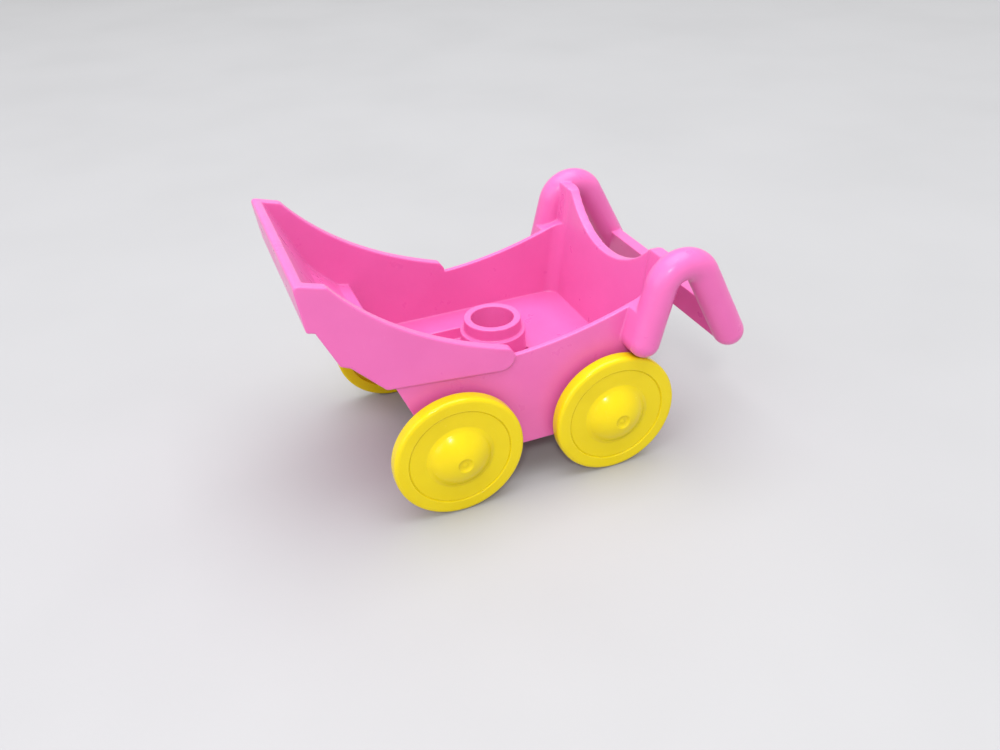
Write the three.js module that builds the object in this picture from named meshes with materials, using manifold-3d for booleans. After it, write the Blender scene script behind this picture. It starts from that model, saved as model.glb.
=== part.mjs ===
// A doll stroller for large-format toy bricks: one pink moulding on two wheel sets.
// Millimetres. X runs across, Y from the hood (-Y) to the handle (+Y), Z up from the ground.
// Inside this file Y = 0 is midway between the axles; the group then moves the origin to
// the middle of the footprint.

import * as THREE from "three";
import { mergeVertices } from "three/addons/utils/BufferGeometryUtils.js";
import Module from "manifold-3d";

const wasm = await Module();
wasm.setup();

// Driving dimensions
const GRID = 16; // pitch of the peg grid that the tub is two pitches wide on
const TUB_HALF = GRID - 0.1; // outer half-width of the tub
const HOOD_HALF = TUB_HALF + 0.7; // the hood's side panels stand a little proud
const WALL = 0.9; // side walls
const FRONT_WALL = 1.3; // slanted walls, measured along Y
const BACK_WALL = 1.6;
const CAVITY_HALF = TUB_HALF - WALL;

const FLOOR_TOP = 15.3;
const FLOOR_UNDER = 14.2;
const SKIRT_BOTTOM = 7.2;
const HOOD_NOSE_Y = -32.7; // the foremost point of the hood
const HOOD_NOSE_Z = 41.8;

const PEG = { radius: 4.675, top: 21.45, collarRadius: 5.35, collarTop: 19.4, bore: 3.48, boreFloor: 16.5 };
const FOOT_WELL = { half: 9.2, front: -12.5, rear: 5.4, floor: 13.2, under: 12.0 };

// The back wall leans: its inner face stands at BACK_Y at height BACK_Z and moves back with height.
const BACK_Y = 17.75;
const BACK_Z = 13;
const BACK_LEAN = 0.13;
const BACK_CORNER = 2.2; // radius of the upright corners inside, beside the back wall

// Handle: two bent tubes, one beside each wall, and a flat bar across their rear ends
const TUBE_RADIUS = 2.45;
const TUBE_X = 18.7;
const BEND_RADIUS = 3.8;
const FRONT_FOOT = [17.25, 22.35]; // centre of the front leg's round end, [y, z]
const FRONT_LEAN = 0.255; // radians back from upright
const REAR_FOOT = [32.4, 20.7];
const REAR_LEAN = 0.478; // radians out from upright
const BAR = { front: 30.55, rear: 32.8, bottom: 19.3, top: 23.85 };

const WHEEL_RADIUS = 10.2;
const AXLE_Y = 13; // the two axles stand this far before and behind Y = 0
const WHEEL_INNER = 16.85; // |x| of the wheel's inner and outer faces
const WHEEL_OUTER = 19.1;
const DOME_RADIUS = 5;
const DOME_HEIGHT = 2.45;
const HUB_INNER = 16.1; // |x| where the hub's inner end runs beside the tub
const AXLE_RADIUS = 1;
const AXLE_END = 20;
const BORE_RADIUS = 1.08;
const BOSS_RADIUS = 2.3;
const BOSS_INNER = 12.8;

const ROUND = 32; // segments round a wheel
const FINE = 24; // segments round a peg, an axle or a bore
const TUBE_SIDES = 16;

// Helpers

// A closed geometry as a manifold solid
function solid(geometry) {
  geometry.deleteAttribute("normal");
  geometry.deleteAttribute("uv");
  const merged = mergeVertices(geometry, 1e-4);
  const index = merged.index.array;
  const triangles = [];
  for (let i = 0; i < index.length; i += 3) {
    const [a, b, c] = [index[i], index[i + 1], index[i + 2]];
    if (a !== b && b !== c && c !== a) triangles.push(a, b, c);
  }
  return new wasm.Manifold(
    new wasm.Mesh({
      numProp: 3,
      vertProperties: merged.attributes.position.array,
      triVerts: new Uint32Array(triangles),
    }),
  );
}

// A side outline of [y, z] points or a Shape, extruded across X from x0 to x1
function across(outline, x0, x1, curveSegments = 10) {
  const shape = outline instanceof THREE.Shape ? outline : polygon(outline);
  const geometry = new THREE.ExtrudeGeometry(shape, { depth: x1 - x0, bevelEnabled: false, curveSegments });
  const basis = new THREE.Matrix4().makeBasis(
    new THREE.Vector3(0, 1, 0),
    new THREE.Vector3(0, 0, 1),
    new THREE.Vector3(1, 0, 0),
  );
  geometry.applyMatrix4(basis);
  geometry.translate(x0, 0, 0);
  return solid(geometry);
}

function polygon(points) {
  return new THREE.Shape(points.map(([a, b]) => new THREE.Vector2(a, b)));
}

function box(x0, x1, y0, y1, z0, z1) {
  const geometry = new THREE.BoxGeometry(x1 - x0, y1 - y0, z1 - z0);
  geometry.translate((x0 + x1) / 2, (y0 + y1) / 2, (z0 + z1) / 2);
  return solid(geometry);
}

// An upright cylinder from z0 to z1
function post(radius, z0, z1) {
  const geometry = new THREE.CylinderGeometry(radius, radius, z1 - z0, FINE);
  geometry.rotateX(Math.PI / 2);
  geometry.translate(0, 0, (z0 + z1) / 2);
  return solid(geometry);
}

// A cylinder along X from x0 to x1, at height WHEEL_RADIUS
function rod(radius, x0, x1, y) {
  const geometry = new THREE.CylinderGeometry(radius, radius, x1 - x0, FINE);
  geometry.rotateZ(Math.PI / 2);
  geometry.translate((x0 + x1) / 2, y, WHEEL_RADIUS);
  return solid(geometry);
}

// The back wall's inner face at height z
const backInner = (z) => BACK_Y + BACK_LEAN * (z - BACK_Z);

// Leans a geometry drawn at height BACK_Z back with the back wall
function lean(geometry) {
  const shear = new THREE.Matrix4().makeShear(0, 0, 0, 0, 0, BACK_LEAN);
  geometry.translate(0, -BACK_LEAN * BACK_Z, 0);
  geometry.applyMatrix4(shear);
  return geometry;
}

// The body moulding

// Side view of the tub, skirt included
const SKIRT_FRONT = -14.6;
const FRONT_SLOPE = 0.4; // the slanted front wall moves forward this much per millimetre up
const skirtFront = (z) => SKIRT_FRONT - FRONT_SLOPE * (z - SKIRT_BOTTOM);

function tubOutline() {
  const shape = new THREE.Shape();
  const joinZ = 25; // inside the hood's third stage
  const inBack = BACK_WALL / 2; // the outline's rear edge is inside the back wall
  shape.moveTo(skirtFront(joinZ), joinZ);
  shape.lineTo(SKIRT_FRONT, SKIRT_BOTTOM);
  shape.lineTo(backInner(SKIRT_BOTTOM) + inBack, SKIRT_BOTTOM);
  shape.lineTo(backInner(29) + inBack, 29);
  shape.quadraticCurveTo(8.3, 24.1, -3.2, 23.5);
  return shape;
}

// Side view of the hood panel: a folding hood in three stages, with a concave top edge
function hoodOutline() {
  const shape = new THREE.Shape();
  shape.moveTo(HOOD_NOSE_Y, HOOD_NOSE_Z);
  shape.lineTo(-31.85, 34.75); // first stage
  shape.lineTo(-30.75, 34.5);
  shape.lineTo(-28.15, 28.7); // second stage
  shape.lineTo(-26.8, 28.1);
  shape.lineTo(-22.25, 23.3); // third stage
  shape.lineTo(-5.2, 21.8); // lower edge of the side panel
  shape.quadraticCurveTo(-2.9, 21.9, -2.8, 24.1);
  shape.lineTo(-3.5, 25.2);
  shape.quadraticCurveTo(-20.1, 30.2, -28.4, 40.6);
  return shape;
}

// Everything above the floor between the walls: the side view cut by a plan view with round
// rear corners, which leans with the back wall
function cavity() {
  const open = 50; // above the whole body
  const side = across(
    [
      [-35, open],
      [-26.2, 30],
      [-24.5, 27.9],
      [-21.6, 25.1],
      [-19.7, 24.7],
      [-19.35, 24],
      [-16.1, FLOOR_TOP],
      [open, FLOOR_TOP],
      [open, open],
    ],
    -GRID,
    GRID,
  );
  const plan = new THREE.Shape();
  const r = BACK_CORNER;
  plan.moveTo(-CAVITY_HALF, -open);
  plan.lineTo(CAVITY_HALF, -open);
  plan.lineTo(CAVITY_HALF, BACK_Y - r);
  plan.absarc(CAVITY_HALF - r, BACK_Y - r, r, 0, Math.PI / 2);
  plan.lineTo(-CAVITY_HALF + r, BACK_Y);
  plan.absarc(-CAVITY_HALF + r, BACK_Y - r, r, Math.PI / 2, Math.PI);
  const geometry = new THREE.ExtrudeGeometry(plan, { depth: open + 2, bevelEnabled: false, curveSegments: 5 });
  return side.intersect(solid(lean(geometry)));
}

// The hollow under the floor, inside the skirt
function underHollow() {
  const low = SKIRT_BOTTOM - 1;
  return across(
    [
      [skirtFront(low) + FRONT_WALL, low],
      [backInner(low), low],
      [backInner(FLOOR_UNDER), FLOOR_UNDER],
      [skirtFront(FLOOR_UNDER) + FRONT_WALL, FLOOR_UNDER],
    ],
    -CAVITY_HALF,
    CAVITY_HALF,
  );
}

function peg(body) {
  const foot = (FOOT_WELL.under + FOOT_WELL.floor) / 2;
  return body
    .add(post(PEG.collarRadius, foot, PEG.collarTop))
    .add(post(PEG.radius, foot, PEG.top))
    .subtract(post(PEG.bore, PEG.boreFloor, PEG.top + 1));
}

function footWell(body) {
  const { half, front, rear, floor, under } = FOOT_WELL;
  const inFloor = (FLOOR_UNDER + FLOOR_TOP) / 2;
  const shell = box(-half - WALL, half + WALL, front - WALL, rear + WALL, under, inFloor);
  return body.add(shell).subtract(box(-half, half, front, rear, floor, FLOOR_TOP + 1));
}

// The leaning back wall: as wide as the tub below, reaching into the handle tubes above, with
// a scooped top edge
function backWall() {
  const scoop = { x: 13.3, z: 47.4, radius: 18.4 }; // a circle centred on X = 0, cut to |x| = 13.3
  const tip = [14.3, 35]; // the corner just outside the scoop
  const shoulder = 27;
  const reach = 17;
  const swing = Math.asin(scoop.x / scoop.radius);
  const face = new THREE.Shape();
  face.moveTo(-TUB_HALF, SKIRT_BOTTOM);
  face.lineTo(TUB_HALF, SKIRT_BOTTOM);
  face.lineTo(TUB_HALF, shoulder);
  face.lineTo(reach, shoulder);
  face.lineTo(reach, tip[1]);
  face.lineTo(tip[0], tip[1]);
  face.absarc(0, scoop.z, scoop.radius, -Math.PI / 2 + swing, -Math.PI / 2 - swing, true);
  face.lineTo(-tip[0], tip[1]);
  face.lineTo(-reach, tip[1]);
  face.lineTo(-reach, shoulder);
  face.lineTo(-TUB_HALF, shoulder);
  const depth = 40;
  const geometry = new THREE.ExtrudeGeometry(face, { depth, bevelEnabled: false, curveSegments: 16 });
  const basis = new THREE.Matrix4().makeBasis(
    new THREE.Vector3(1, 0, 0),
    new THREE.Vector3(0, 0, 1),
    new THREE.Vector3(0, -1, 0),
  );
  geometry.applyMatrix4(basis);
  geometry.translate(0, depth, 0);
  const low = SKIRT_BOTTOM - 1;
  const high = tip[1] + 1;
  const inside = 0.4; // the cavity trims the wall's inner face
  const slab = across(
    [
      [backInner(low) - inside, low],
      [backInner(low) + BACK_WALL, low],
      [backInner(high) + BACK_WALL, high],
      [backInner(high) - inside, high],
    ],
    -reach - 1,
    reach + 1,
  );
  return solid(geometry).intersect(slab);
}

// Centre line of a handle tube in side view, up the front leg, round the bend and down the rear
// leg: a function from the distance along it to a place and a direction, both [y, z]
function handleLine() {
  const up = [Math.sin(FRONT_LEAN), Math.cos(FRONT_LEAN)];
  const down = [Math.sin(REAR_LEAN), -Math.cos(REAR_LEAN)];
  const dot = (a, b) => a[0] * b[0] + a[1] * b[1];
  const towards = (leg) => [leg[1], -leg[0]]; // from a leg to the bend's centre
  // The centre lies BEND_RADIUS beside both legs
  const [inUp, inDown] = [towards(up), towards(down)];
  const a = BEND_RADIUS + dot(inUp, FRONT_FOOT);
  const b = BEND_RADIUS + dot(inDown, REAR_FOOT);
  const det = inUp[0] * inDown[1] - inUp[1] * inDown[0];
  const centre = [(a * inDown[1] - b * inUp[1]) / det, (inUp[0] * b - inDown[0] * a) / det];
  const front = dot(up, [centre[0] - FRONT_FOOT[0], centre[1] - FRONT_FOOT[1]]);
  const rear = dot(down, [REAR_FOOT[0] - centre[0], REAR_FOOT[1] - centre[1]]);
  const turn = Math.PI - FRONT_LEAN - REAR_LEAN;
  const bend = BEND_RADIUS * turn;
  const at = (s) => {
    const angle = FRONT_LEAN + Math.min(Math.max((s - front) / bend, 0), 1) * turn; // from upright
    const direction = [Math.sin(angle), Math.cos(angle)];
    const inward = towards(direction);
    const past = s < front ? s - front : Math.max(s - front - bend, 0);
    const place = [0, 1].map((k) => centre[k] - BEND_RADIUS * inward[k] + past * direction[k]);
    return { place, direction };
  };
  return { at, front, bend, total: front + bend + rear };
}

// A straight bar with round ends, turned on a lathe and then bent along the handle's line
function handleTube() {
  const line = handleLine();
  const capSteps = 4;
  const bendSteps = 9;
  const profile = [];
  for (let i = 0; i <= capSteps; i++) {
    const angle = ((Math.PI / 2) * i) / capSteps;
    profile.push([TUBE_RADIUS * Math.sin(angle), -TUBE_RADIUS * Math.cos(angle)]);
  }
  for (let i = 0; i <= bendSteps; i++) profile.push([TUBE_RADIUS, line.front + (line.bend * i) / bendSteps]);
  for (let i = capSteps; i >= 0; i--) {
    const angle = ((Math.PI / 2) * i) / capSteps;
    profile.push([TUBE_RADIUS * Math.sin(angle), line.total + TUBE_RADIUS * Math.cos(angle)]);
  }
  const geometry = new THREE.LatheGeometry(
    profile.map(([r, s]) => new THREE.Vector2(r, s)),
    TUBE_SIDES,
  );
  const position = geometry.getAttribute("position");
  for (let i = 0; i < position.count; i++) {
    const out = position.getZ(i);
    const { place, direction } = line.at(position.getY(i));
    position.setXYZ(i, position.getX(i), place[0] - out * direction[1], place[1] + out * direction[0]);
  }
  return solid(geometry);
}

// Fills the space between the tub's wall and the front leg, up to the tub's rim
function legRoot() {
  const [y, z] = FRONT_FOOT;
  const length = 8;
  const shape = new THREE.Shape();
  const a = -FRONT_LEAN;
  const top = [y + length * Math.sin(FRONT_LEAN), z + length * Math.cos(FRONT_LEAN)];
  shape.absarc(y, z, TUBE_RADIUS, Math.PI + a, 2 * Math.PI + a);
  shape.lineTo(top[0] + TUBE_RADIUS * Math.cos(a), top[1] + TUBE_RADIUS * Math.sin(a));
  shape.lineTo(top[0] - TUBE_RADIUS * Math.cos(a), top[1] - TUBE_RADIUS * Math.sin(a));
  return across(shape, CAVITY_HALF + 0.5, TUBE_X, 8).intersect(across(tubOutline(), CAVITY_HALF, TUBE_X));
}

function mirrored(part) {
  return part.mirror([1, 0, 0]);
}

function bodyMoulding() {
  let body = across(tubOutline(), -TUB_HALF, TUB_HALF)
    .add(across(hoodOutline(), -HOOD_HALF, HOOD_HALF))
    .add(backWall())
    .subtract(cavity())
    .subtract(underHollow());
  body = footWell(body);
  body = peg(body);
  const tube = handleTube().translate([TUBE_X, 0, 0]);
  const root = legRoot();
  body = body.add(tube).add(mirrored(tube)).add(root).add(mirrored(root));
  body = body.add(box(-TUBE_X + 1, TUBE_X - 1, BAR.front, BAR.rear, BAR.bottom, BAR.top));
  for (const y of [-AXLE_Y, AXLE_Y]) {
    for (const side of [-1, 1]) {
      const [near, far] = [side * BOSS_INNER, side * (CAVITY_HALF + 0.5)].sort((a, b) => a - b);
      body = body.add(rod(BOSS_RADIUS, near, far, y));
    }
    body = body.subtract(rod(BORE_RADIUS, -TUBE_X, TUBE_X, y));
  }
  return body;
}

// Wheel sets

// Half section of a wheel as [radius, x] points, from the blind bore round to the dome's dimple
function wheelSection() {
  const edge = 0.5;
  const disc = WHEEL_OUTER - 0.3; // the face inside the raised rim ring
  const back = WHEEL_INNER + 0.6; // the shallow recess behind
  const points = [
    [0, AXLE_END + 0.2],
    [BORE_RADIUS, AXLE_END + 0.2],
    [BORE_RADIUS, HUB_INNER],
    [2.7, HUB_INNER],
    [2.7, back],
    [8.3, back],
    [8.3, WHEEL_INNER],
    [WHEEL_RADIUS - edge, WHEEL_INNER],
    [WHEEL_RADIUS, WHEEL_INNER + edge],
    [WHEEL_RADIUS, WHEEL_OUTER - edge],
    [WHEEL_RADIUS - edge, WHEEL_OUTER],
    [8.05, WHEEL_OUTER],
    [7.9, disc],
  ];
  const domeSteps = 6;
  const dimple = 1.1;
  const last = Math.acos(dimple / DOME_RADIUS);
  for (let i = 0; i <= domeSteps; i++) {
    const angle = (last * i) / domeSteps;
    points.push([DOME_RADIUS * Math.cos(angle), disc + DOME_HEIGHT * Math.sin(angle)]);
  }
  const dimpleFloor = disc + DOME_HEIGHT - 0.35;
  points.push([0.8, dimpleFloor], [0, dimpleFloor]);
  return points;
}

function wheel(side, y) {
  const points = wheelSection().map(([r, x]) => new THREE.Vector2(r, x));
  const geometry = new THREE.LatheGeometry(points, ROUND);
  geometry.rotateZ(-Math.PI / 2); // the lathe's axis onto +X
  if (side < 0) geometry.rotateZ(Math.PI);
  geometry.translate(0, y, WHEEL_RADIUS);
  return solid(geometry);
}

// The scene graph

const PINK = { color: 0xf06fb4, roughness: 0.38, metalness: 0 };
const YELLOW = { color: 0xe4d418, roughness: 0.32, metalness: 0 };
const STEEL = { color: 0xb9bcc0, roughness: 0.3, metalness: 1 };

function addMesh(group, name, part, material) {
  const { numProp, vertProperties, triVerts } = part.getMesh();
  const geometry = new THREE.BufferGeometry();
  geometry.setAttribute("position", new THREE.BufferAttribute(vertProperties, numProp));
  geometry.setIndex(new THREE.BufferAttribute(triVerts, 1));
  geometry.computeVertexNormals();
  const mesh = new THREE.Mesh(geometry, new THREE.MeshStandardMaterial(material));
  mesh.name = name;
  group.add(mesh);
}

const stroller = new THREE.Group();
addMesh(stroller, "carriage_body", bodyMoulding(), PINK);
for (const [end, y] of [
  ["front", -AXLE_Y],
  ["rear", AXLE_Y],
]) {
  addMesh(stroller, `${end}_axle`, rod(AXLE_RADIUS, -AXLE_END, AXLE_END, y), STEEL);
  addMesh(stroller, `${end}_left_wheel`, wheel(1, y), YELLOW);
  addMesh(stroller, `${end}_right_wheel`, wheel(-1, y), YELLOW);
}

// The middle of the whole length, from the hood's nose to the rear leg's round end
const MIDDLE_Y = (HOOD_NOSE_Y + REAR_FOOT[0] + TUBE_RADIUS) / 2;
stroller.position.y = -MIDDLE_Y;

export default stroller;
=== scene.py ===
"""A doll stroller for large-format toy bricks: the fine surfaces, materials, light and camera.

Outlines are drawn in millimetres, X across, Y from the hood (-) to the handle (+) with Y = 0 midway
between the axles, Z up from the ground. place() turns them into the frame's metres.
"""

import math

import bmesh
import bpy
from mathutils import Matrix, Vector


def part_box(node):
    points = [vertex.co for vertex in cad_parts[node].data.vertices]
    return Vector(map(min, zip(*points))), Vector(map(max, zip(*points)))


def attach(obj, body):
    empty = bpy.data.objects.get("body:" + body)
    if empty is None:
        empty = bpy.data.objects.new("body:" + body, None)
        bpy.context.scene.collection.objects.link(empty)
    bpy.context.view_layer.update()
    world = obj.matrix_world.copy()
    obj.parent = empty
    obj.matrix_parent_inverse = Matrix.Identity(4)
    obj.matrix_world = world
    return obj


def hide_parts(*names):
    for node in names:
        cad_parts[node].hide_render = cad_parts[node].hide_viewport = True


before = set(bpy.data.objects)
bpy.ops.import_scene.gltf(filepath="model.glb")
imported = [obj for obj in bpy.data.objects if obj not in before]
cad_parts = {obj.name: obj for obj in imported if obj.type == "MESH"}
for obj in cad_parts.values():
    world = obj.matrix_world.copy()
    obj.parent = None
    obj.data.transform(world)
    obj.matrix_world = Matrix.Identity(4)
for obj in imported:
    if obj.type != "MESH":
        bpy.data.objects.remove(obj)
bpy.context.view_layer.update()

MM = 0.001


def box_middle(node):
    low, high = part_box(node)
    return (low + high) / 2


FRONT_AXLE = box_middle("front_axle") / MM
REAR_AXLE = box_middle("rear_axle") / MM
MIDDLE_Y = (FRONT_AXLE.y + REAR_AXLE.y) / 2
AXLE_Y = (REAR_AXLE.y - FRONT_AXLE.y) / 2
AXLE_Z = REAR_AXLE.z


# Dimensions of the moulding, in millimetres
BITE = 0.5  # how far a joined piece reaches into its neighbour
TUB_HALF = 15.9
HOOD_HALF = 16.6
WALL = 0.9
CAVITY_HALF = TUB_HALF - WALL
FRONT_WALL = 1.3
BACK_WALL = 1.6
FLOOR_TOP = 15.3
FLOOR_UNDER = 14.2
SKIRT_BOTTOM = 7.2
SKIRT_FRONT = -14.6
FRONT_SLOPE = 0.4
BACK_Y = 17.75
BACK_Z = 13.0
BACK_LEAN = 0.13
BACK_CORNER = 2.2
TUBE_RADIUS = 2.44
TUBE_X = 18.7
BEND_RADIUS = 3.8
FRONT_FOOT = Vector((17.25, 22.35))
REAR_FOOT = Vector((32.4, 20.7))
FRONT_LEAN = 0.255
REAR_LEAN = 0.478
WELL_HALF = 9.2
WELL_FRONT = -12.5
WELL_REAR = 5.4
WELL_FLOOR = 13.2
WELL_UNDER = 12.0
PEG_RADIUS = 4.675
PEG_TOP = 21.45
PEG_BORE = 3.48
PEG_BORE_FLOOR = 16.5
PEG_BORE_END = 23  # above the peg, where the cutter of its bore ends
COLLAR_RADIUS = 5.35
COLLAR_TOP = 19.4
BAR_FRONT = 30.55
BAR_REAR = 32.8
BAR_BOTTOM = 19.3
BAR_TOP = 23.85
BAR_HALF = TUBE_X - 1
BOSS_RADIUS = 2.3
BOSS_INNER = 12.8

# Unit directions in the YZ plane: up the front leg, and square to it
FRONT_UP = Vector((math.sin(FRONT_LEAN), math.cos(FRONT_LEAN)))
FRONT_ASIDE = Vector((FRONT_UP.y, -FRONT_UP.x))

# Dimensions of the wheels and axles, in millimetres
WHEEL_RADIUS = 10.2
WHEEL_INNER = 16.85
WHEEL_OUTER = 19.1
DOME_RADIUS = 5.0
DOME_HEIGHT = 2.45
HUB_INNER = 16.1
AXLE_RADIUS = 1.0
AXLE_END = 20.0
BORE_RADIUS = 1.08


# Outline helpers: points are [y, z] or [x, z] pairs


def curve(start, control, end, steps=24):
    """Points of a quadratic curve, its start left out."""
    points = []
    for i in range(1, steps + 1):
        t = i / steps
        a, b, c = (1 - t) ** 2, 2 * t * (1 - t), t**2
        points.append([a * start[k] + b * control[k] + c * end[k] for k in (0, 1)])
    return points


def arc(centre, radius, begin, end, steps=12):
    """Points of an arc between two angles in radians, both ends included."""
    angles = [begin + (end - begin) * i / steps for i in range(steps + 1)]
    a0, b0 = centre
    return [[a0 + radius * math.cos(a), b0 + radius * math.sin(a)] for a in angles]


def filleted(corners, steps=5):
    """A polyline from corners [a, b, fillet radius], each corner with a radius rounded off."""
    points = []
    for i, (a, b, radius) in enumerate(corners):
        here = Vector((a, b))
        if radius == 0 or i in (0, len(corners) - 1):
            points.append([a, b])
            continue
        before = (Vector(corners[i - 1][:2]) - here).normalized()
        after = (Vector(corners[i + 1][:2]) - here).normalized()
        half = before.angle(after) / 2
        reach = radius / math.tan(half)
        start, end = here + before * reach, here + after * reach
        for k in range(steps + 1):
            t = k / steps
            point = (1 - t) ** 2 * start + 2 * t * (1 - t) * here + t**2 * end
            points.append(list(point))
    return points


def back_inner(z):
    """Y of the back wall's inner face at a height."""
    return BACK_Y + BACK_LEAN * (z - BACK_Z)


def skirt_front(z):
    """Y of the front wall's outer face at a height."""
    return SKIRT_FRONT - FRONT_SLOPE * (z - SKIRT_BOTTOM)


# Solids, in millimetres


def mesh_object(name, bm):
    bmesh.ops.recalc_face_normals(bm, faces=bm.faces)
    mesh = bpy.data.meshes.new(name)
    bm.to_mesh(mesh)
    bm.free()
    obj = bpy.data.objects.new(name, mesh)
    bpy.context.scene.collection.objects.link(obj)
    return obj


def prism(outline, to_space, low, high):
    """An outline extruded from low to high; to_space(a, b, depth) gives a point."""
    bm = bmesh.new()
    rings = [[bm.verts.new(to_space(a, b, depth)) for a, b in outline] for depth in (low, high)]
    bm.faces.new(rings[0])
    bm.faces.new(rings[1][::-1])
    count = len(outline)
    for i in range(count):
        j = (i + 1) % count
        bm.faces.new((rings[0][i], rings[0][j], rings[1][j], rings[1][i]))
    return mesh_object("tool", bm)


def across(outline, x0, x1):
    """A prism along X from an outline of [y, z] points."""
    return prism(outline, lambda y, z, x: (x, y, z), x0, x1)


def lengthwise(outline, y0, y1):
    """A prism along Y from an outline of [x, z] points."""
    return prism(outline, lambda x, z, y: (x, y, z), y0, y1)


def upright(outline, z0, z1, lean=0.0):
    """A prism along Z from an outline of [x, y] points, leaning back with height."""
    return prism(outline, lambda x, y, z: (x, y + lean * (z - BACK_Z), z), z0, z1)


def block(x0, x1, y0, y1, z0, z1):
    return across([[y0, z0], [y1, z0], [y1, z1], [y0, z1]], x0, x1)


def ring_outline(radius, centre=(0, 0), steps=96):
    return arc(centre, radius, 0, 2 * math.pi, steps)[:-1]


def post(radius, z0, z1):
    return upright(ring_outline(radius), z0, z1)


def rod(radius, x0, x1, y, steps=64):
    """A round bar along X at the height of the axles."""
    return across(ring_outline(radius, (y, AXLE_Z), steps), x0, x1)


def evaluated(obj):
    """Replaces an object's mesh by what its modifiers make of it."""
    graph = bpy.context.evaluated_depsgraph_get()
    mesh = bpy.data.meshes.new_from_object(obj.evaluated_get(graph))
    obj.modifiers.clear()
    obj.data = mesh
    return obj


def combine(base, tool, operation):
    """Joins, cuts or intersects base with tool and uses the tool up."""
    modifier = base.modifiers.new("combine", "BOOLEAN")
    modifier.operation = operation
    modifier.solver = "MANIFOLD"
    modifier.object = tool
    evaluated(base)
    bpy.data.objects.remove(tool)
    return base


def join(base, *tools):
    for tool in tools:
        combine(base, tool, "UNION")
    return base


def cut(base, *tools):
    for tool in tools:
        combine(base, tool, "DIFFERENCE")
    return base


def common(base, tool):
    return combine(base, tool, "INTERSECT")


# The body moulding


def tub_outline():
    join_z = 25
    rim_z = 29
    in_back = BACK_WALL / 2
    rim = [back_inner(rim_z) + in_back, rim_z]
    return [
        [skirt_front(join_z), join_z],
        [SKIRT_FRONT, SKIRT_BOTTOM],
        [back_inner(SKIRT_BOTTOM) + in_back, SKIRT_BOTTOM],
        rim,
        *curve(rim, (8.3, 24.1), (-3.2, 23.5)),
    ]


def hood_outline():
    """The hood's side panel: corners are [y, z, fillet radius], and the first is repeated."""
    low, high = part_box("carriage_body")
    nose = [low.y / MM - MIDDLE_Y, high.z / MM]
    corners = [
        [-15, 22.67, 0],
        [-5.2, 21.8, 0],
        *[[y, z, 0] for y, z in curve((-5.2, 21.8), (-2.9, 21.9), (-2.8, 24.1), 10)],
        [-3.5, 25.2, 0.9],
        *[[y, z, 0] for y, z in curve((-3.5, 25.2), (-20.1, 30.2), (-28.4, 40.6), 18)[:-1]],
        [-28.4, 40.6, 0.9],
        [*nose, 0.7],
        [-31.85, 34.75, 0.4],
        [-30.75, 34.5, 0.3],
        [-28.15, 28.7, 0.4],
        [-26.8, 28.1, 0.3],
        [-22.25, 23.3, 0.4],
        [-15, 22.67, 0],
    ]
    return filleted(corners)[:-1]


def cavity():
    top = 50
    side = across(
        [
            [-35, top],
            [-26.2, 30],
            [-24.5, 27.9],
            [-21.6, 25.1],
            [-19.7, 24.7],
            [-19.35, 24],
            [-16.1, FLOOR_TOP],
            [top, FLOOR_TOP],
            [top, top],
        ],
        -HOOD_HALF,
        HOOD_HALF,
    )
    r = BACK_CORNER
    plan = [
        [-CAVITY_HALF, -top],
        [CAVITY_HALF, -top],
        *arc((CAVITY_HALF - r, BACK_Y - r), r, 0, math.pi / 2),
        *arc((-CAVITY_HALF + r, BACK_Y - r), r, math.pi / 2, math.pi),
    ]
    return common(side, upright(plan, 0, top + 2, BACK_LEAN))


def under_hollow():
    low = SKIRT_BOTTOM - 1
    outline = [
        [skirt_front(low) + FRONT_WALL, low],
        [back_inner(low), low],
        [back_inner(FLOOR_UNDER), FLOOR_UNDER],
        [skirt_front(FLOOR_UNDER) + FRONT_WALL, FLOOR_UNDER],
    ]
    return across(outline, -CAVITY_HALF, CAVITY_HALF)


def back_wall():
    scoop_x, scoop_z, scoop_radius = 13.3, 47.4, 18.4
    tip = (14.3, 35)
    shoulder = 27
    reach = 17
    swing = math.asin(scoop_x / scoop_radius)
    face = [
        [-TUB_HALF, SKIRT_BOTTOM],
        [TUB_HALF, SKIRT_BOTTOM],
        [TUB_HALF, shoulder],
        [reach, shoulder],
        [reach, tip[1]],
        list(tip),
        *arc((0, scoop_z), scoop_radius, swing - math.pi / 2, -swing - math.pi / 2, 48),
        [-tip[0], tip[1]],
        [-reach, tip[1]],
        [-reach, shoulder],
        [-TUB_HALF, shoulder],
    ]
    low, high = SKIRT_BOTTOM - 1, tip[1] + 1
    inside = 0.4
    past_side = 2
    past_rear = 40
    slab = [
        [back_inner(low) - inside, low],
        [back_inner(low) + BACK_WALL, low],
        [back_inner(high) + BACK_WALL, high],
        [back_inner(high) - inside, high],
    ]
    wide = HOOD_HALF + past_side
    return common(lengthwise(face, 0, past_rear), across(slab, -wide, wide))


def handle_line():
    """Centre line of a handle tube as [y, z] points: leg, bend, leg."""
    down = Vector((math.sin(REAR_LEAN), -math.cos(REAR_LEAN)))
    rear_aside = Vector((down.y, -down.x))
    from_front = BEND_RADIUS + FRONT_ASIDE.dot(FRONT_FOOT)
    from_rear = BEND_RADIUS + rear_aside.dot(REAR_FOOT)
    legs = Matrix((FRONT_ASIDE, rear_aside))
    centre = legs.inverted() @ Vector((from_front, from_rear))
    begin = math.atan2(-FRONT_ASIDE.y, -FRONT_ASIDE.x)
    end = math.atan2(-rear_aside.y, -rear_aside.x)
    return [list(FRONT_FOOT), *arc(centre, BEND_RADIUS, begin, end, 28), list(REAR_FOOT)]


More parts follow.
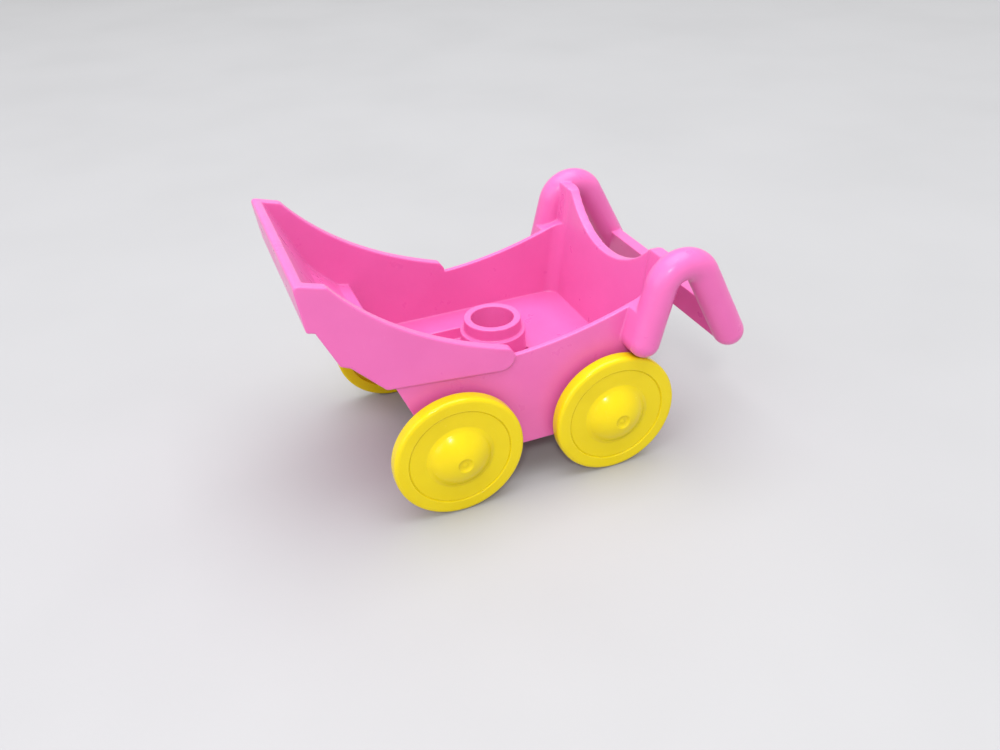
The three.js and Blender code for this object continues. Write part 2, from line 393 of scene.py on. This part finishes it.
def handle_tube(side):
    """A tube with round ends along the handle line."""
    line = [Vector((side * TUBE_X, y, z)) for y, z in handle_line()]
    tangents = [(b - a).normalized() for a, b in zip(line, line[1:])]
    sections = []
    cap_steps = 12
    for i in range(1, cap_steps):
        angle = math.pi / 2 * i / cap_steps
        middle = line[0] - tangents[0] * TUBE_RADIUS * math.cos(angle)
        sections.append((middle, tangents[0], TUBE_RADIUS * math.sin(angle)))
    for i, point in enumerate(line):
        before = tangents[max(i - 1, 0)]
        after = tangents[min(i, len(tangents) - 1)]
        sections.append((point, (before + after).normalized(), TUBE_RADIUS))
    for i in range(cap_steps - 1, 0, -1):
        angle = math.pi / 2 * i / cap_steps
        middle = line[-1] + tangents[-1] * TUBE_RADIUS * math.cos(angle)
        sections.append((middle, tangents[-1], TUBE_RADIUS * math.sin(angle)))
    start = line[0] - tangents[0] * TUBE_RADIUS
    end = line[-1] + tangents[-1] * TUBE_RADIUS
    return swept(sections, start, end)


def swept(sections, start, end, sides=48):
    """A closed skin through round sections that stand across the YZ plane, between two ends."""
    bm = bmesh.new()
    x_axis = Vector((1, 0, 0))
    rings = []
    for middle, tangent, radius in sections:
        out = x_axis.cross(tangent)
        ring = []
        for k in range(sides):
            angle = 2 * math.pi * k / sides
            spoke = math.cos(angle) * x_axis + math.sin(angle) * out
            ring.append(bm.verts.new(middle + radius * spoke))
        rings.append(ring)
    first, last = bm.verts.new(start), bm.verts.new(end)
    for k in range(sides):
        n = (k + 1) % sides
        bm.faces.new((first, rings[0][n], rings[0][k]))
        bm.faces.new((last, rings[-1][k], rings[-1][n]))
        for a, b in zip(rings, rings[1:]):
            bm.faces.new((a[k], a[n], b[n], b[k]))
    return mesh_object("tool", bm)


def leg_root(side):
    """Fills the space between the tub's wall and the front leg, up to the tub's rim."""
    reach = 8
    top = FRONT_FOOT + reach * FRONT_UP
    turn = -FRONT_LEAN
    outline = [
        *arc(FRONT_FOOT, TUBE_RADIUS, math.pi + turn, 2 * math.pi + turn, 24),
        list(top + TUBE_RADIUS * FRONT_ASIDE),
        list(top - TUBE_RADIUS * FRONT_ASIDE),
    ]
    x0, x1 = sorted((side * (CAVITY_HALF + BITE), side * TUBE_X))
    return common(across(outline, x0, x1), across(tub_outline(), x0 - 1, x1 + 1))


def moulding():
    """The whole body with crisp edges: tub, hood, back wall, foot-well, peg, handle and bosses."""
    tub = across(tub_outline(), -TUB_HALF, TUB_HALF)
    body = join(tub, across(hood_outline(), -HOOD_HALF, HOOD_HALF), back_wall())
    cut(body, cavity(), under_hollow())
    in_floor = (FLOOR_TOP + FLOOR_UNDER) / 2
    half, front, rear = WELL_HALF + WALL, WELL_FRONT - WALL, WELL_REAR + WALL
    join(body, block(-half, half, front, rear, WELL_UNDER, in_floor))
    cut(body, block(-WELL_HALF, WELL_HALF, WELL_FRONT, WELL_REAR, WELL_FLOOR, FLOOR_TOP + 1))
    foot = (WELL_FLOOR + WELL_UNDER) / 2
    join(body, post(COLLAR_RADIUS, foot, COLLAR_TOP), post(PEG_RADIUS, foot, PEG_TOP))
    cut(body, post(PEG_BORE, PEG_BORE_FLOOR, PEG_BORE_END))
    for side in (-1, 1):
        join(body, handle_tube(side), leg_root(side))
    join(body, block(-BAR_HALF, BAR_HALF, BAR_FRONT, BAR_REAR, BAR_BOTTOM, BAR_TOP))
    boss_outer = CAVITY_HALF + BITE
    for y in (-AXLE_Y, AXLE_Y):
        join(body, rod(BOSS_RADIUS, -boss_outer, -BOSS_INNER, y))
        join(body, rod(BOSS_RADIUS, BOSS_INNER, boss_outer, y))
        cut(body, rod(BORE_RADIUS, -TUBE_X, TUBE_X, y))
    return body


def softened(obj, voxel=0.13, even_rounds=5, last_rounds=6, keep=0.08):
    """Rounds every edge a little, as a mould does.

    The solid gets an even skin, which is put back on the crisp faces, smoothed and thinned out.
    """
    crisp = bpy.data.objects.new("crisp", obj.data.copy())
    bpy.context.scene.collection.objects.link(crisp)
    remesh = obj.modifiers.new("skin", "REMESH")
    remesh.mode = "VOXEL"
    remesh.voxel_size = voxel
    even = obj.modifiers.new("even", "SMOOTH")
    even.factor = 0.5
    even.iterations = even_rounds
    wrap = obj.modifiers.new("faces", "SHRINKWRAP")
    wrap.target = crisp
    wrap.wrap_method = "NEAREST_SURFACEPOINT"
    smooth = obj.modifiers.new("round", "SMOOTH")
    smooth.factor = 0.5
    smooth.iterations = last_rounds
    thin = obj.modifiers.new("thin", "DECIMATE")
    thin.ratio = keep
    evaluated(obj)
    bpy.data.objects.remove(crisp)
    return obj


def place(obj, name):
    """Names a piece drawn in millimetres and puts it in the frame's metres."""
    obj.name = name
    obj.data.name = name
    obj.data.transform(Matrix.Scale(MM, 4) @ Matrix.Translation((0, MIDDLE_Y, 0)))
    for polygon in obj.data.polygons:
        polygon.use_smooth = True
    weighted = obj.modifiers.new("normals", "WEIGHTED_NORMAL")
    weighted.weight = 60
    return obj


# Wheels and axles


def turned(section, segments=128):
    """A solid turned about the X axis from [radius, x] points that start and end on it."""
    bm = bmesh.new()
    rings = []
    for radius, x in section:
        if radius == 0:
            rings.append([bm.verts.new((x, 0, 0))])
            continue
        turns = [2 * math.pi * k / segments for k in range(segments)]
        points = [(x, radius * math.cos(a), radius * math.sin(a)) for a in turns]
        rings.append([bm.verts.new(point) for point in points])
    for a, b in zip(rings, rings[1:]):
        for k in range(segments):
            n = (k + 1) % segments
            if len(a) == 1:
                bm.faces.new((a[0], b[k], b[n]))
            elif len(b) == 1:
                bm.faces.new((a[k], b[0], a[n]))
            else:
                bm.faces.new((a[k], b[k], b[n], a[n]))
    return mesh_object("turned", bm)


def wheel_section():
    """Half a wheel's section as [radius, x] points, from the blind bore to the dome's middle."""
    rim, disc, back = WHEEL_OUTER, WHEEL_OUTER - 0.3, WHEEL_INNER + 0.6
    # The dome is a cap of a sphere, cut short at its foot and at its dimple.
    sphere = (DOME_RADIUS**2 + DOME_HEIGHT**2) / (2 * DOME_HEIGHT)
    centre = disc + DOME_HEIGHT - sphere
    foot, dimple = 4.75, 1.15
    first, last = math.acos(foot / sphere), math.acos(dimple / sphere)
    dome = [[r, centre + x, 0] for r, x in arc((0, 0), sphere, first, last, 28)]
    bore_end = AXLE_END + 0.2
    floor = disc + DOME_HEIGHT - 0.45
    return filleted(
        [
            [0, bore_end, 0],
            [BORE_RADIUS, bore_end, 0],
            [BORE_RADIUS, HUB_INNER, 0.15],
            [2.7, HUB_INNER, 0.2],
            [2.7, back, 0.3],
            [8.3, back, 0.3],
            [8.3, WHEEL_INNER, 0.2],
            [WHEEL_RADIUS, WHEEL_INNER, 0.45],
            [WHEEL_RADIUS, rim, 0.75],
            [8.1, rim - 0.04, 0.12],
            [7.98, disc - 0.02, 0.06],
            [7.84, disc + 0.1, 0.06],
            [5.35, disc + 0.04, 0.25],
            *dome,
            [1.0, floor + 0.12, 0.08],
            [0.7, floor, 0.15],
            [0.42, floor + 0.02, 0.1],
            [0.3, floor + 0.1, 0.05],
            [0, floor + 0.12, 0],
        ]
    )


def wheel(end, side, y):
    """One wheel: its section faces +X, and the wheels on the other side are turned round."""
    obj = turned(wheel_section())
    turn = Matrix.Rotation(0 if side > 0 else math.pi, 4, "Z")
    obj.data.transform(Matrix.Translation((0, y, AXLE_Z)) @ turn)
    hand = "left" if side > 0 else "right"
    place(obj, f"{end}_{hand}_wheel_fine")
    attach(obj, f"{end}_wheelset")
    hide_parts(f"{end}_{hand}_wheel")
    return obj


def axle(end, y):
    section = filleted(
        [
            [0, -AXLE_END, 0],
            [AXLE_RADIUS, -AXLE_END, 0.3],
            [AXLE_RADIUS, AXLE_END, 0.3],
            [0, AXLE_END, 0],
        ]
    )
    obj = turned(section, 48)
    obj.data.transform(Matrix.Translation((0, y, AXLE_Z)))
    place(obj, f"{end}_axle_fine")
    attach(obj, f"{end}_wheelset")
    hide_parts(f"{end}_axle")
    return obj


# Materials


class Shader:
    """A node material built from calls.

    add() makes a node, whose inputs are values or the outputs of other nodes.
    """

    def __init__(self, name):
        self.material = bpy.data.materials.new(name)
        self.material.use_nodes = True
        self.tree = self.material.node_tree
        self.tree.nodes.clear()
        self.surface = self.add("ShaderNodeBsdfPrincipled")
        output = self.add("ShaderNodeOutputMaterial")
        self.tree.links.new(self.surface.outputs[0], output.inputs[0])

    def add(self, kind, inputs=None, **settings):
        node = self.tree.nodes.new(kind)
        for key, value in settings.items():
            setattr(node, key, value)
        self.feed(node, inputs or {})
        return node

    def feed(self, node, inputs):
        for key, value in inputs.items():
            if isinstance(value, bpy.types.NodeSocket):
                self.tree.links.new(value, node.inputs[key])
            else:
                node.inputs[key].default_value = value

    def math(self, operation, a, b):
        return self.add("ShaderNodeMath", {0: a, 1: b}, operation=operation).outputs[0]

    def ramp(self, value, low, high, to_low=0.0, to_high=1.0):
        node = self.add(
            "ShaderNodeMapRange",
            {0: value, 1: low, 2: high, 3: to_low, 4: to_high},
            interpolation_type="SMOOTHSTEP",
        )
        return node.outputs[0]

    def mix(self, share, a, b):
        node = self.add("ShaderNodeMix", {0: share, 6: a, 7: b}, data_type="RGBA")
        return node.outputs[2]

    def spot(self, scale=(1, 1, 1), turn=(0, 0, 0), shift=(0, 0, 0)):
        """Object coordinates in millimetres, stretched and turned."""
        here = self.add("ShaderNodeTexCoord").outputs["Object"]
        per_mm = [s / MM for s in scale]
        return self.add("ShaderNodeMapping", {0: here, 1: shift, 2: turn, 3: per_mm}).outputs[0]

    def noise(self, size, detail=3.0, roughness=0.5, **where):
        """Noise whose blobs are about size millimetres across."""
        inputs = {
            "Vector": self.spot(**where),
            "Scale": 1 / size,
            "Detail": detail,
            "Roughness": roughness,
        }
        return self.add("ShaderNodeTexNoise", inputs).outputs[0]

    def scratches(self, turn, shift, length=9.0, gap=1.6, width=0.008):
        """Thin faint lines along one direction: the borders of long drawn-out cells, in patches."""
        spot = self.spot(scale=(gap / length, 1, 1), turn=turn, shift=shift)
        inputs = {"Vector": spot, "Scale": 1 / gap}
        cells = self.add("ShaderNodeTexVoronoi", inputs, feature="DISTANCE_TO_EDGE")
        line = self.ramp(cells.outputs["Distance"], 0.0, width, 1.0, 0.0)
        patches = self.ramp(self.noise(3.0, 3.0, shift=shift), 0.54, 0.66)
        return self.math("MULTIPLY", line, patches)


def plastic(name, colour, deep, light, gloss, shine, subsurface, corner_shade_share):
    """Moulded plastic: clouded colour, faint scratches, rubbed edges, painted shade darkening the
    corners.

    deep is the clouds' second colour and light the colour of rubbed spots. gloss is the least
    roughness, shine the specular level, and corner_shade_share how dark the painted corner shade
    is.
    """
    s = Shader(name)
    clouds = s.noise(7.0, 3.0)
    uneven = s.math("MULTIPLY", s.math("SUBTRACT", s.noise(1.1, 4.0), 0.5), 0.5)
    crisp = s.add("ShaderNodeNewGeometry").outputs["Normal"]
    rounded = s.add("ShaderNodeBevel", {"Radius": 0.35 * MM}, samples=4).outputs[0]
    agree = s.add("ShaderNodeVectorMath", {0: crisp, 1: rounded}, operation="DOT_PRODUCT")
    turn = s.math("SUBTRACT", 1.0, agree.outputs["Value"])
    edge = s.math("ADD", turn, s.math("MULTIPLY", uneven, 0.06))
    occlusion = s.add("ShaderNodeAmbientOcclusion", {"Distance": 0.7 * MM}, samples=6)
    open_air = occlusion.outputs["AO"]
    wear = s.math("MULTIPLY", s.ramp(edge, 0.02, 0.12), s.ramp(open_air, 0.8, 0.97))
    # painted shade: darker where ambient occlusion is low, in corners and creases, broken up by
    # noise
    corner_shade = s.ramp(s.math("ADD", open_air, uneven), 0.62, 0.3)
    along = s.scratches(turn=(0.3, 0.2, 0.6), shift=(3, 7, 1))
    aslant = s.scratches(turn=(1.2, 0.5, -0.7), shift=(11, 2, 5))
    marks = s.math("ADD", along, aslant)
    base = s.mix(s.ramp(clouds, 0.35, 0.7), (*colour, 1), (*deep, 1))
    base = s.mix(s.math("MULTIPLY", wear, 0.3), base, (*light, 1))
    base = s.mix(s.math("MULTIPLY", marks, 0.2), base, (*light, 1))
    # the painted shade in corners, mixed in as a darker copy of the deep colour
    base = s.mix(s.math("MULTIPLY", corner_shade, corner_shade_share), base, (*[c * 0.45 for c in deep], 1))
    handling = s.noise(3.5, 5.0, 0.6, shift=(20, 4, 8))
    roughness = s.ramp(handling, 0.3, 0.75, gloss, gloss + 0.15)
    roughness = s.math("ADD", roughness, s.math("MULTIPLY", marks, 0.2))
    skin = s.ramp(handling, 0.3, 0.75, 0.07, 0.16)
    skin = s.math("ADD", skin, s.math("MULTIPLY", wear, 0.1))
    peel = s.math("MULTIPLY", s.noise(0.9, 2.0), 0.02)
    grain = s.math("MULTIPLY", s.noise(0.16, 2.0), 0.0025)
    height = s.math("SUBTRACT", s.math("ADD", peel, grain), s.math("MULTIPLY", marks, 0.006))
    bump = s.add("ShaderNodeBump", {"Height": height, "Strength": 0.2, "Distance": 0.3 * MM})
    s.feed(
        s.surface,
        {
            "Base Color": base,
            "Roughness": roughness,
            "IOR": 1.53,
            "Normal": bump.outputs[0],
            "Specular IOR Level": shine,
            "Coat Weight": 0.12,
            "Coat Roughness": skin,
            "Coat Normal": bump.outputs[0],
            "Subsurface Weight": subsurface,
            "Subsurface Radius": (1.0, 0.45, 0.6),
            "Subsurface Scale": 1.2 * MM,
        },
    )
    return s.material


def steel(name):
    """Drawn steel wire: fine rings of turning marks across and faint lengthwise streaks."""
    s = Shader(name)
    streaks = s.noise(0.12, 4.0, 0.6, scale=(0.02, 1, 1))
    rings = s.noise(0.09, 2.0, 0.5, scale=(1, 0.02, 0.02))
    cloud = s.noise(2.4, 4.0)
    base = s.mix(s.ramp(cloud, 0.35, 0.75), (0.56, 0.56, 0.57, 1), (0.40, 0.39, 0.38, 1))
    streaky = s.ramp(streaks, 0.2, 0.8, 0.22, 0.38)
    roughness = s.math("ADD", streaky, s.ramp(rings, 0.3, 0.8, 0.0, 0.08))
    height = s.math("MULTIPLY", s.math("ADD", streaks, rings), 0.004)
    bump = s.add("ShaderNodeBump", {"Height": height, "Strength": 0.4, "Distance": 0.2 * MM})
    s.feed(
        s.surface,
        {
            "Base Color": base,
            "Roughness": roughness,
            "Metallic": 1.0,
            "Normal": bump.outputs[0],
        },
    )
    return s.material


def paper(name):
    """The pale matt floor."""
    s = Shader(name)
    cloud = s.noise(60.0, 3.0)
    base = s.mix(s.ramp(cloud, 0.3, 0.8), (0.41, 0.41, 0.405, 1), (0.39, 0.39, 0.385, 1))
    fibres = s.noise(0.8, 4.0)
    bump = s.add("ShaderNodeBump", {"Height": fibres, "Strength": 0.1, "Distance": 0.1 * MM})
    s.feed(s.surface, {"Base Color": base, "Roughness": 0.75, "Normal": bump.outputs[0]})
    return s.material


def dress(obj, material):
    obj.data.materials.clear()
    obj.data.materials.append(material)


# The stroller

pink = plastic(
    "pink_plastic_worn",
    colour=(0.73, 0.137, 0.405),
    deep=(0.71, 0.129, 0.39),
    light=(0.84, 0.29, 0.55),
    gloss=0.27,
    shine=0.32,
    subsurface=0.1,
    corner_shade_share=0.3,
)
yellow = plastic(
    "yellow_plastic_worn",
    colour=(0.74, 0.575, 0.004),
    deep=(0.70, 0.535, 0.003),
    light=(0.82, 0.70, 0.06),
    gloss=0.13,
    shine=0.2,
    subsurface=0.05,
    corner_shade_share=0.55,
)
pin_steel = steel("steel_drawn")

body = place(softened(moulding()), "carriage_fine")
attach(body, "carriage")
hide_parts("carriage_body")
dress(body, pink)

for end, y in (("front", -AXLE_Y), ("rear", AXLE_Y)):
    dress(axle(end, y), pin_steel)
    for side in (-1, 1):
        dress(wheel(end, side, y), yellow)


# Floor, light and camera, in metres

FLOOR_HALF = 3
LIT_POINT = Vector((0, 0, 0.02))
AZIMUTH, ELEVATION, ROLL = (math.radians(angle) for angle in (68.93, 32.76, -2.2))
CAMERA_PLACE = Vector((0.117859, -0.04551, 0.091136))
SENSOR_MM = 36
LENS_MM = 31.86
NEAREST = 0.005


def make_floor():
    bm = bmesh.new()
    bmesh.ops.create_grid(bm, x_segments=2, y_segments=2, size=FLOOR_HALF)
    floor = mesh_object("floor", bm)
    dress(floor, paper("floor_paper"))


def softbox(name, direction, distance, size, power, colour=(1, 1, 1)):
    """A square area light that looks at the stroller's middle from a direction."""
    data = bpy.data.lights.new(name, "AREA")
    data.size = size
    data.energy = power
    data.color = colour
    obj = bpy.data.objects.new(name, data)
    away = Vector(direction).normalized()
    obj.location = LIT_POINT + away * distance
    obj.rotation_euler = away.to_track_quat("Z", "Y").to_euler()
    bpy.context.scene.collection.objects.link(obj)


def make_world(strength, colour):
    world = bpy.data.worlds.new("studio")
    world.use_nodes = True
    background = world.node_tree.nodes["Background"]
    background.inputs[0].default_value = (*colour, 1)
    background.inputs[1].default_value = strength
    bpy.context.scene.world = world


def make_camera():
    level = math.cos(ELEVATION)
    back = Vector((math.sin(AZIMUTH) * level, -math.cos(AZIMUTH) * level, math.sin(ELEVATION)))
    right = Vector((math.cos(AZIMUTH), math.sin(AZIMUTH), 0))
    up = back.cross(right)
    turned_right = math.cos(ROLL) * right + math.sin(ROLL) * up
    turned_up = -math.sin(ROLL) * right + math.cos(ROLL) * up
    data = bpy.data.cameras.new("camera")
    data.sensor_width = SENSOR_MM
    data.lens = LENS_MM
    data.clip_start = NEAREST
    camera = bpy.data.objects.new("camera", data)
    axes = Matrix((turned_right, turned_up, back)).transposed().to_4x4()
    camera.matrix_world = Matrix.Translation(CAMERA_PLACE) @ axes
    bpy.context.scene.collection.objects.link(camera)
    bpy.context.scene.camera = camera


make_floor()
softbox("key", (0.70, -0.30, 0.64), distance=0.35, size=0.04, power=0.35)
softbox("overhead", (0, 0, 1), distance=0.9, size=0.9, power=9.2, colour=(0.98, 0.99, 1.06))
softbox("front", (0.35, -1, 0.5), distance=0.8, size=0.6, power=1.8, colour=(1.0, 0.9, 1.08))
make_world(strength=0.8, colour=(1, 1, 1))
make_camera()
bpy.context.scene.view_settings.view_transform = "Standard"
